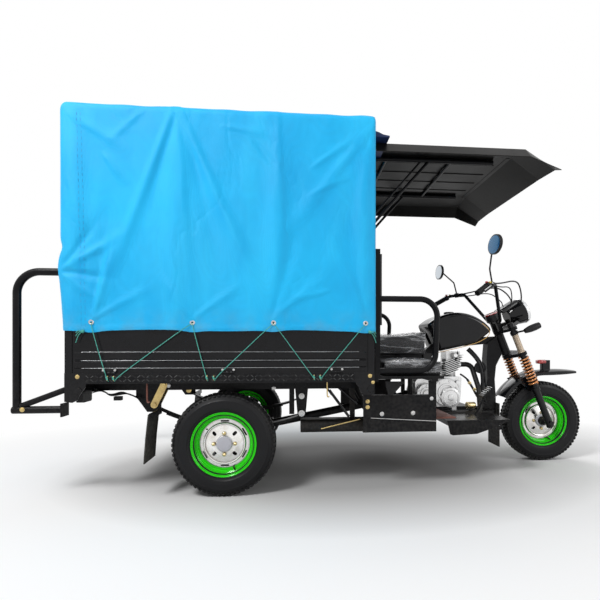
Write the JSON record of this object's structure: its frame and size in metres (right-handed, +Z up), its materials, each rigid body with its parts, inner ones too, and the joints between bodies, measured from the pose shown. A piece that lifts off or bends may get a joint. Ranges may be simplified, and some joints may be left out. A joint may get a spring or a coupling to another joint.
{
  "type": "cargo motor tricycle",
  "caption": "Cargo motor tricycle with a canvas covered load bed, a roofed bench seat, an open engine and one steered front wheel.",
  "frame": {"origin": "on the ground at the middle of the whole vehicle seen from above", "axes": "+X forward to the front wheel, +Y to the left side of the vehicle, +Z up"},
  "size_m": [3.3979, 1.264, 2.0319],
  "materials": {
    "frame_black": "satin black paint",
    "panel_black": "gloss black paint",
    "gloss_black": "deep gloss black paint",
    "spring_steel": "satin black paint on spring steel",
    "plated_steel": "yellow zinc plated steel",
    "flap_rubber": "matt black rubber",
    "red_lens": "clear red plastic",
    "canopy_canvas": "sky blue coated canvas",
    "seat_leather": "black leather cloth",
    "roof_plastic": "dark brown plastic",
    "engine_alloy": "cast alloy",
    "exhaust_black": "heat proof black paint",
    "fork_steel": "gloss black paint",
    "copper_paint": "copper coloured paint",
    "grip_rubber": "moulded black rubber",
    "black_plastic": "moulded black plastic",
    "tyre_rubber": "black tyre rubber",
    "wheel_green": "bright green paint"
  },
  "bodies": {
    "chassis": {"bed_frame": "frame_black", "leaf_springs": "spring_steel", "spring_shackles": "plated_steel", "rear_axle": "frame_black", "bed_floor": "panel_black", "corner_posts": "panel_black", "side_panel_left": "panel_black", "side_panel_right": "panel_black", "bed_front_wall": "panel_black", "gate_hinges": "plated_steel", "rear_hoops": "frame_black", "wheel_guards": "panel_black", "mudflaps": "flap_rubber", "tail_lamps": "red_lens", "canopy_frame": "frame_black", "canopy_cover": "canopy_canvas", "rear_curtain": "canopy_canvas", "front_frame": "frame_black", "seat_frame": "frame_black", "armrest_hoops": "frame_black", "bench_cushions": "seat_leather", "driver_saddle": "seat_leather", "backrest": "seat_leather", "roof_frame": "frame_black", "driver_roof": "roof_plastic", "fuel_tank": "gloss_black", "engine_case": "engine_alloy", "engine_cylinder": "engine_alloy", "exhaust": "exhaust_black", "side_skirts": "panel_black", "side_covers": "gloss_black", "footboards": "frame_black"},
    "steering": {"fork_yokes": "frame_black", "fork_legs": "fork_steel", "fork_springs": "copper_paint", "handlebar": "frame_black", "hand_grips": "grip_rubber", "hand_controls": "black_plastic", "mirrors": "black_plastic", "gauge": "black_plastic", "headlamp": "gloss_black", "front_signals": "black_plastic", "front_fender": "gloss_black"},
    "front_wheel_set": {"front_tyre": "tyre_rubber", "front_wheel": "wheel_green"},
    "rear_left_wheel_set": {"rear_left_tyre": "tyre_rubber", "rear_left_wheel": "wheel_green"},
    "rear_right_wheel_set": {"rear_right_tyre": "tyre_rubber", "rear_right_wheel": "wheel_green"},
    "gate": {"tailgate": "panel_black"}
  },
  "joints": [
    {"name": "steering", "type": "hinge", "parent": "chassis", "child": "steering", "pos_m": [1.38064, 0, 0.25327], "axis": [-0.3746, 0, 0.9272], "range_deg": [-36, 36]},
    {"name": "front_wheel", "type": "hinge", "parent": "steering", "child": "front_wheel_set", "pos_m": [1.427, 0, 0.272], "axis": [0, 1, 0], "continuous": true},
    {"name": "rear_left_wheel", "type": "hinge", "parent": "chassis", "child": "rear_left_wheel_set", "pos_m": [-0.653, 0.52, 0.272], "axis": [0, 1, 0], "continuous": true},
    {"name": "rear_right_wheel", "type": "hinge", "parent": "chassis", "child": "rear_right_wheel_set", "pos_m": [-0.653, -0.52, 0.272], "axis": [0, 1, 0], "continuous": true},
    {"name": "tailgate", "type": "hinge", "parent": "chassis", "child": "gate", "pos_m": [-1.434, 0, 0.647], "axis": [0, -1, 0], "range_deg": [0, 175]}
  ]
}
